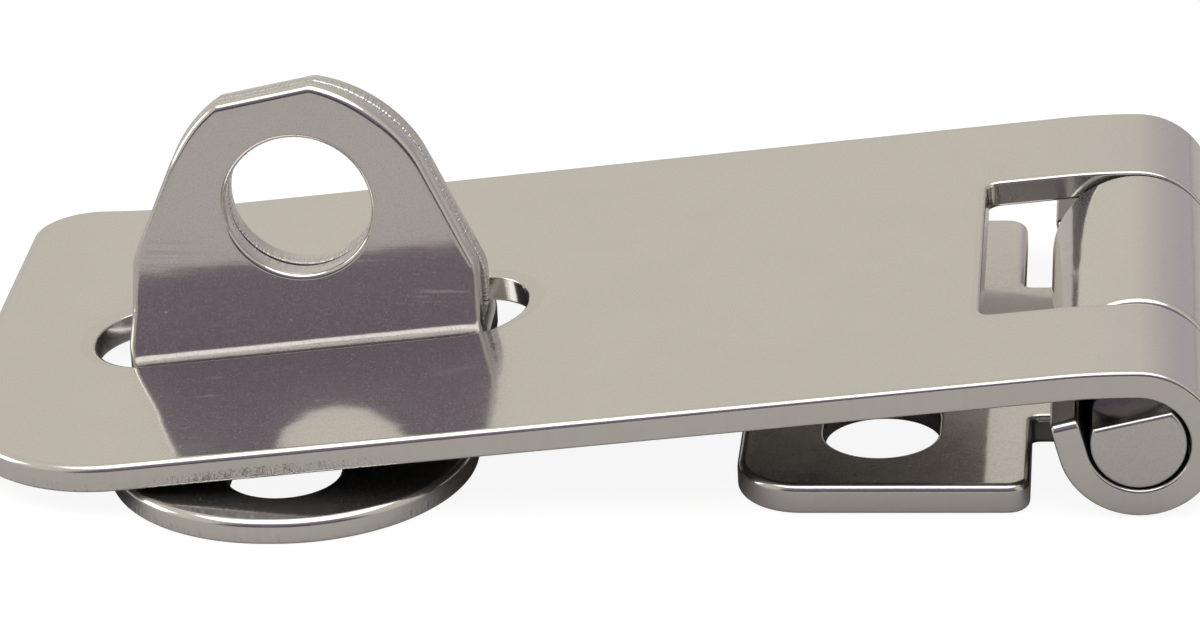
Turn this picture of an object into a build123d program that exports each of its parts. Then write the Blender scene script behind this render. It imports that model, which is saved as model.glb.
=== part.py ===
from build123d import *
from math import asin, atan2, cos, degrees, radians, sin, sqrt, tan
import os

# Padlock hasp, millimetres. Z = 0 is the door face, the hinge axis runs along Y above X = 0,
# Y = 0 is the middle of the strap, and the closed strap reaches out along -X to the staple.

# Sheet stock and hinge pin
PLATE_T = 2.0
STRAP_T = 1.8
STAPLE_T = 1.6
PIN_D = 6.0
PIN_GRIP_GAP = 0.02        # radial, pin in the hinge plate's knuckle, which holds it
PIN_RUN_GAP = 0.1          # pin to the strap's knuckles, across the oval curl's short way
PIN_SIDE_GAP = 0.2         # the same across its long way
PIN_FLAT_DEPTH = 1.34      # flat that the cropping tool left at the pin's front end
PIN_FLAT_LENGTH = 3.2
PIN_FLAT_LEAN = 16.5       # degrees that the flat faces away from straight up, towards the staple

# Strap: flat leaf, curled down and under at the hinge end
STRAP_W = 41.4
STRAP_LENGTH = 76.2        # hinge axis to the free end
STRAP_RISE = 0.24          # underside of the flat leaf above the top of the curl's bore
CURL_START = 4.5           # from the axis to where the leaf begins to dip to the curl
CURL_SEAM = 45.0           # degrees from the oval's long way to where its tight and wide arcs meet
CURL_ROLL = 22.0           # degrees that the oval's long way slopes down to the right
TAIL_LENGTH = 2.5          # straight end of the curled sheet
TAIL_LEAN = 9.0            # degrees that the tail leans from the vertical
LIP_LENGTH = 13.2          # free end that rises gently, to lift the strap by
LIP_RADIUS = 95.0
FRONT_CORNER_R = 12.0
BACK_CORNER_R = 7.5
SLOT_W = 8.6               # slot that drops over the staple
SLOT_LENGTH = 30.0
SLOT_FROM_END = 22.3       # free end to the middle of the slot
SLOT_SHIFT_Y = -0.9
WINDOW_W = 20.9            # opening for the hinge plate's knuckle
WINDOW_DEPTH = 9.5
WINDOW_CORNER_R = 0.8
EDGE_R = 0.25              # tumbled sheet edges

# Hinge plate: flat leaf with two screw slots and a tongue curled round the pin
PLATE_W = 41.3
PLATE_LEFT = 25.1          # axis to the plate's far edge
PLATE_RIGHT = 6.7          # axis to the front shoulder
BACK_SHOULDER_IN = 0.8     # the back shoulder is cut that much shorter
PLATE_SHIFT_Y = 0.4        # side play, taken up towards the back
PLATE_OUTER_R = 4.2
PLATE_SHOULDER_R = 1.4
TONGUE_SIDE_GAP = 0.4      # to each side of the strap's window
TONGUE_SHIFT_Y = -0.2
TONGUE_ROOT_R = 0.5
CURL_END = 203.0           # degrees round the pin from +X, over the top
CURL_LOOSE = 0.6           # past the top the curl is wider by this, so it stands off the pin
PLATE_EDGE_R = 0.45
SCREW_SLOT_W = 7.3
SCREW_SLOT_LENGTH = 9.4
PLATE_HOLE_X = 16.2
PLATE_HOLE_PITCH = 23.6

# Staple: one strip, folded double at the top, legs turned out into rounded feet
STAPLE_IN_SLOT = 0.1       # from the middle of the slot towards the hinge
STAPLE_Y = -2.95
STAPLE_W = 23.1
FOLD_GAP = 0.1             # between the two layers
LEG_BEND_R = 1.0           # inside radius where a leg turns into its foot
FOOT_REACH = 21.4          # middle plane to a foot's rounded end
FOOT_HOLE_REACH = 13.2     # middle plane to the middle of a screw slot
EYE_R = 9.1
EYE_Z = 13.2
EYE_FLANK = 19.0           # degrees that the flanks lean in from the vertical
EYE_HOLE_D = 9.5
EYE_HOLE_Z = 14.3
FOLD_LEAN = 12.0           # degrees that the fold's line is off square
FOLD_HALF_ANGLE = 20.0     # half of the arc that the fold takes from the eye's round top
WAIST_R = 4.0              # between the flanks and the straight legs
STRAP_REST_GAP = 0.1       # resting strap above the staple's foot

pin_r = PIN_D / 2
AXIS_Z = pin_r + PIN_GRIP_GAP + PLATE_T
slot_x = SLOT_FROM_END - STRAP_LENGTH
staple_x = slot_x + STAPLE_IN_SLOT
TALL = 100.0                                   # longer than any cut needs

# the curl's bore is an oval of four arcs that touch: two wide ones and two tight ones
oval_a = pin_r + PIN_SIDE_GAP
oval_b = pin_r + PIN_RUN_GAP
slant = tan(radians(CURL_SEAM))
side_off = (oval_a - oval_b) / (1 + slant - sqrt(1 + slant ** 2))
wide_off = side_off * slant
side_r = oval_a - side_off
wide_r = oval_b + wide_off
roll = radians(CURL_ROLL)
wide_centre = (-wide_off * sin(roll), -wide_off * cos(roll))
side_centre = (side_off * cos(roll), -side_off * sin(roll))
under_z = wide_centre[1] + wide_r + STRAP_RISE      # underside of the flat strap, above the axis


def arc_points(centre, radius, start, end):
    """Arc about centre in a sketch plane, from one angle to another, in degrees."""
    middle = radians((start + end) / 2)
    ends = [(centre[0] + radius * cos(radians(a)), centre[1] + radius * sin(radians(a))) for a in (start, end)]
    through = (centre[0] + radius * cos(middle), centre[1] + radius * sin(middle))
    return ThreePointArc(ends[0], through, ends[1])


def outline_face(inner, outer, plane):
    """The cut face of a bent sheet, from the curves of its two sides in order."""
    ends = [Line(inner[0] @ 0, outer[0] @ 0), Line(inner[-1] @ 1, outer[-1] @ 1)]
    edges = [edge for curve in inner + outer + ends for edge in curve.edges()]
    return make_face(plane * Wire(edges))


def prism(face, x=0, y=0):
    """A sketch on XY carried through the sheet, up and down."""
    return Pos(x, y, 0) * extrude(face, TALL / 2, both=True)


def strap_section():
    """Side view of the strap, on XZ: lip, flat leaf, dip, curl and tail, as one bent sheet."""
    # the shallow dip is an arc that touches the flat underside and the curl's upper arc
    run = wide_centre[0] + CURL_START
    extra = (run ** 2 + STRAP_RISE ** 2) / (2 * STRAP_RISE)
    dip_r = wide_r + extra
    dip_end = 90 - degrees(atan2(run, extra - STRAP_RISE))
    dip_centre = (-CURL_START, under_z - dip_r)
    lip_start = LIP_LENGTH - STRAP_LENGTH
    lip_r = LIP_RADIUS + STRAP_T
    lip_centre = (lip_start, under_z + lip_r)
    lip_turn = degrees(asin(LIP_LENGTH / lip_r))
    seams = [CURL_SEAM - CURL_ROLL, -CURL_SEAM - CURL_ROLL, CURL_SEAM - CURL_ROLL - 180, TAIL_LEAN - 180]
    below = (-wide_centre[0], -wide_centre[1])
    left = (-side_centre[0], -side_centre[1])

    def side(offset):
        """One side of the sheet: 0 is the inner side, STRAP_T the outer side."""
        lip = arc_points(lip_centre, lip_r - offset, -90 - lip_turn, -90)
        dip = arc_points(dip_centre, dip_r + offset, 90, dip_end)
        flat = Line(lip @ 1, dip @ 0)
        curl = [
            arc_points(wide_centre, wide_r + offset, dip_end, seams[0]),
            arc_points(side_centre, side_r + offset, seams[0], seams[1]),
            arc_points(below, wide_r + offset, seams[1], seams[2]),
            arc_points(left, side_r + offset, seams[2], seams[3]),
        ]
        tail = Line(curl[-1] @ 1, curl[-1] @ 1 + (curl[-1] % 1) * TAIL_LENGTH)
        return [lip, flat, dip, *curl, tail]

    return outline_face(side(0), side(STRAP_T), Plane.XZ)


def strap():
    """The leaf that swings: bent sheet, then its outline, slot and window."""
    sheet = extrude(strap_section(), STRAP_W / 2, both=True)
    with BuildSketch() as plan:
        with Locations(((WINDOW_DEPTH - STRAP_LENGTH) / 2, 0)):
            Rectangle(STRAP_LENGTH + WINDOW_DEPTH, STRAP_W)
        for side, radius in ((0, FRONT_CORNER_R), (-1, BACK_CORNER_R)):
            free_end = plan.vertices().group_by(Axis.X)[0].sort_by(Axis.Y)
            fillet(free_end[side], radius)
    leaf = sheet & prism(plan.sketch)
    leaf -= prism(SlotOverall(SLOT_LENGTH, SLOT_W), slot_x, SLOT_SHIFT_Y)
    leaf -= prism(RectangleRounded(2 * WINDOW_DEPTH, WINDOW_W, WINDOW_CORNER_R))
    return fillet(leaf.edges(), EDGE_R)


def strap_tilt():
    """Degrees that the closed strap leans so that its underside rests on the staple's foot."""
    reach = STAPLE_W / 2 - staple_x
    height = AXIS_Z - STAPLE_T - STRAP_REST_GAP
    # underside point (-reach, under_z) turned down by the angle: height + under_z cos a = reach sin a
    span = sqrt(reach ** 2 + under_z ** 2)
    return degrees(asin(height / span) + atan2(under_z, reach))


def hinge_plate():
    """Screwed leaf with its tongue curled round the pin."""
    tongue_w = WINDOW_W - 2 * TONGUE_SIDE_GAP
    front, back = PLATE_SHIFT_Y - PLATE_W / 2, PLATE_SHIFT_Y + PLATE_W / 2
    tongue = [TONGUE_SHIFT_Y - tongue_w / 2, TONGUE_SHIFT_Y + tongue_w / 2]
    back_edge = PLATE_RIGHT + BACK_SHOULDER_IN
    with BuildSketch() as plan:
        Polygon((-PLATE_LEFT, front), (-PLATE_RIGHT, front), (-PLATE_RIGHT, tongue[0]), (0, tongue[0]),
                (0, tongue[1]), (-back_edge, tongue[1]), (-back_edge, back), (-PLATE_LEFT, back), align=None)
        corners = plan.vertices()
        near_pin = [v for v in corners if -back_edge <= round(v.X, 3) < 0]
        fillet(corners.group_by(Axis.X)[0], PLATE_OUTER_R)
        fillet([v for v in near_pin if round(v.Y, 3) in (front, back)], PLATE_SHOULDER_R)
        fillet([v for v in near_pin if round(v.Y, 3) in tongue], TONGUE_ROOT_R)
    leaf = extrude(plan.sketch, PLATE_T)

    def side(offset):
        """One side of the curl on XZ: 0 is the side towards the pin."""
        tight_r = pin_r + PIN_GRIP_GAP + offset
        loose_centre = (0, -CURL_LOOSE)
        return [arc_points((0, 0), tight_r, -90, 90), arc_points(loose_centre, tight_r + CURL_LOOSE, 90, CURL_END)]

    section = outline_face(side(0), side(PLATE_T), Plane.XZ)
    leaf += Pos(0, TONGUE_SHIFT_Y, AXIS_Z) * extrude(section, tongue_w / 2, both=True)
    leaf = fillet(leaf.edges(), PLATE_EDGE_R)
    for side in (-1, 1):
        hole = SlotOverall(SCREW_SLOT_LENGTH, SCREW_SLOT_W).rotate(Axis.Z, 90)
        leaf -= prism(hole, -PLATE_HOLE_X, PLATE_SHIFT_Y + side * PLATE_HOLE_PITCH / 2)
    return leaf


def hinge_pin():
    """Plain pin, flush with the strap's knuckles, with a short flat at the front where it was cropped."""
    pin = Rot(90, 0, 0) * Cylinder(pin_r, STRAP_W)
    pin = chamfer(pin.edges().filter_by(GeomType.CIRCLE), EDGE_R)
    above_flat = Pos(0, -STRAP_W / 2, pin_r - PIN_FLAT_DEPTH + PIN_D / 2) * Box(PIN_D, 2 * PIN_FLAT_LENGTH, PIN_D)
    return Pos(0, 0, AXIS_Z) * (pin - Rot(0, -PIN_FLAT_LEAN, 0) * above_flat)


def staple_leg():
    """One layer of the strip: half of the eye, a leg and a foot."""
    half = FOLD_GAP / 2
    bend = (half + STAPLE_T + LEG_BEND_R, STAPLE_T + LEG_BEND_R)

    def side(offset):
        """One side of the strip on YZ: 0 is the side towards the other leg."""
        turn = arc_points(bend, LEG_BEND_R + STAPLE_T - offset, 180, 270)
        return [Line((half + offset, TALL / 2), turn @ 0), turn, Line(turn @ 1, (FOOT_REACH, offset))]

    leg = extrude(outline_face(side(0), side(STAPLE_T), Plane.YZ), STAPLE_W / 2, both=True)

    # from above: straight sides and a round end; from the front: round top, leaning flanks, straight legs
    flank = radians(EYE_FLANK)
    touch = (EYE_R * cos(flank), EYE_Z + EYE_R * sin(flank))
    waist = touch[1] - (STAPLE_W / 2 - touch[0]) / tan(flank)
    with BuildSketch() as face:
        Polygon((-STAPLE_W / 2, -1), (STAPLE_W / 2, -1), (STAPLE_W / 2, waist), touch,
                (-touch[0], touch[1]), (-STAPLE_W / 2, waist), align=None)
        fillet(face.vertices().filter_by(lambda v: abs(v.Y - waist) < 0.01), WAIST_R)
        with Locations((0, EYE_Z)):
            Circle(EYE_R)
        with Locations((0, EYE_HOLE_Z)):
            Circle(EYE_HOLE_D / 2, mode=Mode.SUBTRACT)
    leg = leg & extrude(Plane.XZ * face.sketch, TALL, both=True)
    leg = leg & prism(SlotOverall(2 * FOOT_REACH, STAPLE_W).rotate(Axis.Z, 90))
    leg -= prism(SlotOverall(SCREW_SLOT_LENGTH, SCREW_SLOT_W).rotate(Axis.Z, 90), 0, FOOT_HOLE_REACH)
    return fillet(leg.edges(), EDGE_R)


def staple():
    """Strip folded double at the top, with the padlock hole, legs and feet."""
    fold_r = FOLD_GAP / 2 + STAPLE_T
    legs = staple_leg() + mirror(staple_leg(), Plane.XZ)

    # the fold that joins the layers is half round and crosses the round top as a chord
    chord_height = EYE_R * cos(radians(FOLD_HALF_ANGLE))
    chord_length = 2 * EYE_R * sin(radians(FOLD_HALF_ANGLE))
    fold = Pos(0, 0, EYE_Z) * Rot(0, -FOLD_LEAN, 0) * Pos(0, 0, chord_height - fold_r)
    above = fold * Pos(0, 0, TALL / 2) * Box(chord_length, TALL, TALL)
    crown = fold * Pos(0, 0, fold_r / 2) * Box(chord_length, 2 * fold_r, fold_r)
    crown = crown & fold * Rot(0, 90, 0) * Cylinder(fold_r, chord_length)
    return Pos(staple_x, STAPLE_Y, 0) * (legs - above + crown)


parts = {
    "hinge_plate": hinge_plate(),
    "hinge_pin": hinge_pin(),
    "strap": Pos(0, 0, AXIS_Z) * Rot(0, -strap_tilt(), 0) * strap(),
    "staple": staple(),
}

os.makedirs("parts", exist_ok=True)
for name, shape in parts.items():
    export_step(shape, f"parts/{name}.step")
    box = shape.bounding_box()
    print(f"{name:12s} volume {shape.volume:8.1f}  solids {len(shape.solids())}  "
          f"size {box.size.X:.2f} x {box.size.Y:.2f} x {box.size.Z:.2f}")
print(f"strap tilt {strap_tilt():.2f} degrees, axis {AXIS_Z:.2f} mm above the door face")
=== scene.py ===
# %% [markdown]
# # A padlock hasp in bright sheet steel
# The hasp is four pieces of metal: a strap that swings, the plate it is hinged to, the pin between them,
# and the staple that comes up through the strap's slot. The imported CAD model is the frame: it says where
# each piece is and how it moves. Here each piece gets a finer surface and a real finish.

# %% The frame
from math import asin, atan2, cos, hypot, pi, radians, sin, sqrt, tan

import bpy
import numpy as np
from mathutils import Matrix, Vector
from mathutils.geometry import delaunay_2d_cdt


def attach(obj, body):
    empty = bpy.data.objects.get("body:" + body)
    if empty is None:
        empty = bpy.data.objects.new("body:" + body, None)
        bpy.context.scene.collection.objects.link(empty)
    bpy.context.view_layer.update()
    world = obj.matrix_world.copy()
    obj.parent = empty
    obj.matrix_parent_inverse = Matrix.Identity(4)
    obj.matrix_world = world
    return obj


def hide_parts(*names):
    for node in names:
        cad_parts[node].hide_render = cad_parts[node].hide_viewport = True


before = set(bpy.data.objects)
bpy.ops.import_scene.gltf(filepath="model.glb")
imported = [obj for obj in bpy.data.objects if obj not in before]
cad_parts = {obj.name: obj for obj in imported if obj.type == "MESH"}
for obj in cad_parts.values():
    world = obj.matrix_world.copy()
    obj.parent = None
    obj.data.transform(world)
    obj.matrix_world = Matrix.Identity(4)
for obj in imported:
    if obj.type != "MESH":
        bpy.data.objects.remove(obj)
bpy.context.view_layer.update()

MM = 0.001
print("nodes:", sorted(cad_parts))

# %% [markdown]
# ## Sheet metal as a bent blank
# The strap, the plate and the staple are each stamped from flat sheet and then bent. A solid model with
# rounded edges could be used as it is, but its facets show in bright metal. So the blank is drawn flat,
# its edge gets the soft shoulder that the punch and the tumbling barrel leave, and one formula bends it.
# The formula gives the surface's direction at every point too, so reflections run smoothly over it.

# %% Straights and arcs in a chain
def walk(s, start, heading, pieces):
    """Points and headings at the lengths s along a chain of straights and arcs.

    pieces are (length, radius): None is a straight, a positive radius turns left, a negative one right.
    On an arc the heading is h + u / r after the length u, and the point has moved by
    r (sin(h + u / r) - sin h) across and r (cos h - cos(h + u / r)) up.
    """
    s = np.asarray(s, float)
    x, z, headings = np.zeros(s.shape), np.zeros(s.shape), np.zeros(s.shape)
    at, h, begin = np.array(start, float), heading, 0.0
    for number, (length, radius) in enumerate(pieces):
        first, last = number == 0, number == len(pieces) - 1
        here = (first | (s >= begin)) & (last | (s < begin + length))
        u = np.append(s[here] - begin, length)
        if radius is None:
            turned = np.full(u.shape, h)
            step_x, step_z = u * cos(h), u * sin(h)
        else:
            turned = h + u / radius
            step_x, step_z = radius * (np.sin(turned) - sin(h)), radius * (cos(h) - np.cos(turned))
        x[here], z[here], headings[here] = at[0] + step_x[:-1], at[1] + step_z[:-1], turned[:-1]
        at, h, begin = at + (step_x[-1], step_z[-1]), turned[-1], begin + length
    return x, z, headings


def chain_length(pieces):
    return sum(length for length, radius in pieces)


# %% Outlines with round corners
EDGE_STEP = 0.4          # mm between the points of an outline
SAME_PLACE = 1e-4        # mm; points nearer than this are one


def rounded(corners, radii, hole=False):
    """Closed outline as rows (x, y, normal x, normal y), with a fillet at each corner.

    A fillet of radius r at a corner that turns by a starts r tan(a / 2) before the corner. Its points are
    its centre plus r times the outward normal, which turns evenly from one edge's normal to the next's.
    Corners run anticlockwise round metal. Round a hole they are reversed, so the normal points into it.
    """
    corners, radii = np.array(corners, float), np.array(radii, float)
    if hole:
        corners, radii = corners[::-1], radii[::-1]
    before, after = corners - np.roll(corners, 1, 0), np.roll(corners, -1, 0) - corners
    h0, h1 = np.arctan2(before[:, 1], before[:, 0]), np.arctan2(after[:, 1], after[:, 0])
    turn = (h1 - h0 + pi) % (2 * pi) - pi
    rows = []
    for corner, r, h, a in zip(corners, radii, h0, turn):
        count = max(5, int(np.ceil(abs(a) * r / EDGE_STEP)) + 1)
        swing = h + np.linspace(0, a, count)
        normal = np.stack([np.sin(swing), -np.cos(swing)], 1)
        side = np.sign(a)
        start = corner - r * tan(abs(a) / 2) * np.array([cos(h), sin(h)])
        centre = start - side * r * normal[0]
        rows.append(np.hstack([centre + side * r * normal, normal]))
    path = np.concatenate(rows)
    gap = np.linalg.norm(np.roll(path, -1, 0)[:, :2] - path[:, :2], axis=1)
    return even(path[gap > SAME_PLACE])


def even(path):
    """The same outline with extra points on its long straights."""
    loop = np.vstack([path, path[:1]])
    length = np.append(0, np.cumsum(np.linalg.norm(np.diff(loop[:, :2], axis=0), axis=1)))
    extra = np.arange(0, length[-1], EDGE_STEP)
    nearest = np.abs(extra[:, None] - length[None, :-1]).min(1)
    s = np.sort(np.concatenate([length[:-1], extra[nearest > EDGE_STEP / 2]]))
    out = np.stack([np.interp(s, length, loop[:, k]) for k in range(4)], 1)
    out[:, 2:] /= np.linalg.norm(out[:, 2:], axis=1, keepdims=True)
    return out


def slot(x, y, size_x, size_y):
    """A hole with round ends, or a round hole where both sizes are the same."""
    half_x, half_y = size_x / 2, size_y / 2
    box = [(x + i * half_x, y + j * half_y) for i, j in ((-1, -1), (1, -1), (1, 1), (-1, 1))]
    return rounded(box, [min(half_x, half_y)] * 4, hole=True)


def inside(points, loops):
    """Even-odd rule: in the metal if a ray to the right crosses the loops an odd number of times."""
    a = np.concatenate([loop[:, :2] for loop in loops])
    b = np.concatenate([np.roll(loop[:, :2], -1, 0) for loop in loops])
    rise = np.where(a[:, 1] == b[:, 1], 1.0, b[:, 1] - a[:, 1])
    y = points[:, 1:2]
    spans = (a[:, 1] > y) != (b[:, 1] > y)
    meets = a[:, 0] + (y - a[:, 1]) * (b[:, 0] - a[:, 0]) / rise
    return (spans & (points[:, 0:1] < meets)).sum(1) % 2 == 1


def border(path, up, low, rise=0.0, grow=0.0, skew=0.0, start=0.0):
    """An outline with the shape of its edge at each point, in mm.

    up and low are the radii of the upper and lower shoulder. rise lifts the upper face's rim, grow pushes
    the edge outwards, and skew slants it, outwards by so much for each mm of height. Lengths along the
    outline are counted from start.
    """
    shape = {"up": up, "low": low, "rise": rise, "grow": grow, "skew": skew, "start": start}
    return {"path": path, **{key: np.full(len(path), value, float) for key, value in shape.items()}}


# %% The edge of the sheet
ROUND_STEPS = 6          # quads across each rounded shoulder
RIM_MARGIN = 0.08        # mm of flat sheet that belongs to the edge's profile
SHOULDER = np.linspace(0, 90, ROUND_STEPS)
PROFILE = np.radians(np.concatenate([[0], SHOULDER, SHOULDER + 90, [180]]))[:, None]


def rim_inset(edge):
    return max(edge["up"].max(), edge["low"].max()) + RIM_MARGIN


def ring_quads(rings, count):
    """Quads between neighbouring rings of count points, each ring closed on itself."""
    ring, i = np.meshgrid(np.arange(rings - 1), np.arange(count), indexing="ij")
    j = (i + 1) % count
    corners = [ring * count + i, (ring + 1) * count + i, (ring + 1) * count + j, ring * count + j]
    return np.stack(corners, -1).reshape(-1, 4)


def edge_rings(edge, bend, thickness):
    """Rings of points round one outline, from the upper face over the edge to the lower face.

    At the angle a from 0 to 180 degrees the inset is r (1 - sin a). The height is t/2 - r (1 - cos a) up to
    90 degrees with the upper radius, and -t/2 + r (1 + cos a) past it with the lower one. The normal is
    sin a outwards and cos a up; a skew k tilts it by k sin a downwards. bend() carries a blank point p to
    P(p), with the directions A and B along the blank and N across it, so the surface is
    P(p - inset n) + height N.
    """
    path, count, rings = edge["path"], len(edge["path"]), len(PROFILE)
    upper = (np.arange(rings) <= ROUND_STEPS)[:, None]
    r = np.where(upper, edge["up"], edge["low"])
    height = np.where(upper, thickness / 2 + edge["rise"] - r * (1 - np.cos(PROFILE)),
                      -thickness / 2 + r * (1 + np.cos(PROFILE)))
    inset = r * (1 - np.sin(PROFILE)) - edge["grow"] - edge["skew"] * height
    inset[[0, -1]] = rim_inset(edge)
    height[0] = thickness / 2
    flat = path[None, :, :2] - inset[:, :, None] * path[None, :, 2:]
    P, A, B, N = (v.reshape(rings, count, 3) for v in bend(flat.reshape(-1, 2)))
    outward = path[None, :, 2:3] * A + path[None, :, 3:4] * B
    upward = np.cos(PROFILE) - edge["skew"] * np.sin(PROFILE)
    normals = np.sin(PROFILE)[:, :, None] * outward + upward[:, :, None] * N
    along = edge["start"] + np.append(0, np.cumsum(np.linalg.norm(np.diff(path[:, :2], axis=0), axis=1)))
    place = np.stack([np.broadcast_to(along, height.shape), thickness / 2 - height], -1)
    points = P + height[:, :, None] * N
    return points.reshape(-1, 3), normals.reshape(-1, 3), ring_quads(rings, count), place.reshape(-1, 2)


# %% The two faces of the sheet
TINY = 1e-6              # mm2; triangles below this lie on one line and are left out


def face_fill(rims, grids):
    """Points on the blank between the rims, and triangles over all of them.

    grids are (s0, s1, y0, y1, step): the points are denser where the sheet is bent. The triangles are the
    Delaunay ones that keep the rims as edges, without those in the holes.
    """
    rim_points = np.concatenate(rims)
    fill = []
    for s0, s1, y0, y1, step in grids:
        s, y = (np.arange(low + step / 2, high, step) for low, high in ((s0, s1), (y0, y1)))
        grid = np.stack(np.meshgrid(s, y, indexing="ij"), -1).reshape(-1, 2)
        near = np.concatenate([np.linalg.norm(part[:, None] - rim_points[None], axis=2).min(1)
                               for part in np.array_split(grid, max(1, len(grid) // 2000))])
        fill.append(grid[inside(grid, rims) & (near > min(step, EDGE_STEP) * 0.7)])
    fill = np.concatenate(fill)
    flat = np.concatenate([rim_points, fill])
    starts = np.cumsum([0] + [len(rim) for rim in rims])
    edges = [(at + i, at + (i + 1) % len(rim)) for at, rim in zip(starts, rims) for i in range(len(rim))]
    _, _, triangles, origin, _, _ = delaunay_2d_cdt([Vector(p) for p in flat.tolist()], edges, [], 0, 1e-7)
    triangles = np.array([ids[0] for ids in origin])[np.array(triangles)]
    a, b, c = (flat[triangles[:, k]] for k in range(3))
    area = np.abs((b - a)[:, 0] * (c - a)[:, 1] - (b - a)[:, 1] * (c - a)[:, 0]) / 2
    return fill, triangles[inside((a + b + c) / 3, rims) & (area > TINY)]


def sheet_mesh(edges, bend, thickness, grids):
    """One bent blank: rings round each outline, and the same triangles on the upper and the lower face."""
    vertices, normals, quads, place, starts, base = [], [], [], [], [], 0
    for edge in edges:
        ring_points, ring_normals, ring_quads, ring_place = edge_rings(edge, bend, thickness)
        vertices.append(ring_points)
        normals.append(ring_normals)
        quads.append(base + ring_quads)
        place.append(ring_place)
        starts.append(base)
        base += len(ring_points)
    rims = [edge["path"][:, :2] - rim_inset(edge) * edge["path"][:, 2:] for edge in edges]
    fill, triangles = face_fill(rims, grids)
    last_ring = len(PROFILE) - 1
    rim_ids = [start + np.arange(len(rim)) for start, rim in zip(starts, rims)]
    fill_id = base + np.arange(len(fill))
    upper_id = np.concatenate(rim_ids + [fill_id])
    lower_id = np.concatenate([ids + last_ring * len(ids) for ids in rim_ids] + [fill_id + len(fill)])
    P, _, _, N = bend(fill)
    return {"vertices": np.concatenate(vertices + [P + thickness / 2 * N, P - thickness / 2 * N]),
            "normals": np.concatenate(normals + [N, -N]),
            "quads": np.concatenate(quads),
            "triangles": np.concatenate([upper_id[triangles], lower_id[triangles][:, ::-1]]),
            "place": np.concatenate(place + [np.zeros((2 * len(fill), 2))])}


def add_object(name, data):
    piece = bpy.data.objects.new(name, data)
    bpy.context.scene.collection.objects.link(piece)
    return piece


def make_piece(name, parts, finish, edge_finish):
    """A mesh object from one or more sheet meshes, with its worked-out normals."""
    vertices, normals, place = (np.concatenate([part[key] for part in parts])
                                for key in ("vertices", "normals", "place"))
    starts = np.cumsum([0] + [len(part["vertices"]) for part in parts])
    faces, is_edge = [], []
    for part, start in zip(parts, starts):
        faces += (part["quads"] + start).tolist() + (part["triangles"] + start).tolist()
        is_edge += [1] * len(part["quads"]) + [0] * len(part["triangles"])
    mesh = bpy.data.meshes.new(name)
    mesh.from_pydata((vertices * MM).tolist(), [], faces)
    mesh.polygons.foreach_set("material_index", np.array(is_edge, np.int32))
    mesh.polygons.foreach_set("use_smooth", np.ones(len(faces), bool))
    edge_place = mesh.attributes.new("edge_place", "FLOAT2", "POINT")
    edge_place.data.foreach_set("vector", place.astype(np.float32).ravel())
    mesh.materials.append(finish)
    mesh.materials.append(edge_finish)
    mesh.update()
    mesh.normals_split_custom_set_from_vertices(normals.tolist())
    print(name, "has", len(faces), "faces")
    return add_object(name, mesh)


# %% [markdown]
# ## The finish
# The metal is bright sheet steel that was tumbled in a barrel after stamping. One glossy shader could stand
# for it, but then the dark parts of its reflections come out flat and black. The real surface is a mirror
# under a fine grain of dents: most of a ray is mirrored, and about a seventh, or more in the dents, is
# scattered widely. So two metals are mixed, a smooth one and a matte one, and the noise that makes
# the dents sets the share. A metal's colour is its mirror colour, nearly neutral here; the warmth comes from
# the room.

# %% Colours and nodes
def linear(code):
    """An sRGB hex colour as linear numbers."""
    c = np.array([int(code[i:i + 2], 16) for i in (1, 3, 5)]) / 255
    return (*np.where(c <= 0.04045, c / 12.92, ((c + 0.055) / 1.055) ** 2.4).tolist(), 1.0)


def add(tree, kind, inputs=None, **settings):
    """A node with its settings. A value in inputs sets a socket, and another node's output links to it."""
    node = tree.nodes.new(kind)
    for key, value in settings.items():
        setattr(node, key, value)
    for key, value in (inputs or {}).items():
        if isinstance(value, bpy.types.NodeSocket):
            tree.links.new(value, node.inputs[key])
        else:
            node.inputs[key].default_value = value
    return node


def new_material(name):
    material = bpy.data.materials.new(name)
    material.use_nodes = True
    material.node_tree.nodes.clear()
    return material, material.node_tree


MATTE_ROUGHNESS = 0.45   # of the scattered share


def finish_steel(tree, tone, roughness, mirror_normal, matte_normal, matte_share):
    """Steel as a mirror mixed with a matte metal of the same colour, set as the material's surface."""
    lobes = [add(tree, "ShaderNodeBsdfPrincipled", {"Base Color": tone, "Metallic": 1.0, "Roughness": rough,
                                                    "Normal": normal}).outputs["BSDF"]
             for rough, normal in ((roughness, mirror_normal), (MATTE_ROUGHNESS, matte_normal))]
    surface = add(tree, "ShaderNodeMixShader", {0: matte_share, 1: lobes[0], 2: lobes[1]})
    add(tree, "ShaderNodeOutputMaterial", {"Surface": surface.outputs["Shader"]})


# %% Tumbled sheet steel
# each noise's size in mm, its detail, and whether it is drawn out
PATTERNS = {"grain": (0.16, 2.0, False), "lines": (0.25, 3.0, True), "waves": (3, 1.0, False),
            "clouds": (6, 4.0, False), "scratches": (0.9, 5.0, True), "rubbed": (0.35, 2.0, True)}
WAVE_DEPTH, LINE_DEPTH, GRAIN_DEPTH = 0.02 * MM, 0.0012 * MM, 0.007 * MM
SCRATCH_FROM_TO, RUBBED_FROM_TO, DENTS_FROM_TO = (0.7, 0.76), (0.52, 0.6), (0.45, 0.75)    # of the noise
PIT_SPACING, PIT_FADE = 2.5 * MM, (0.05, 0.03)
RUB_FADE = (1.0, 0.4)                    # of a rubbed place's half size
MATTE_SHARE, MARK_SHARE = (0.11, 0.32), 0.5


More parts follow.
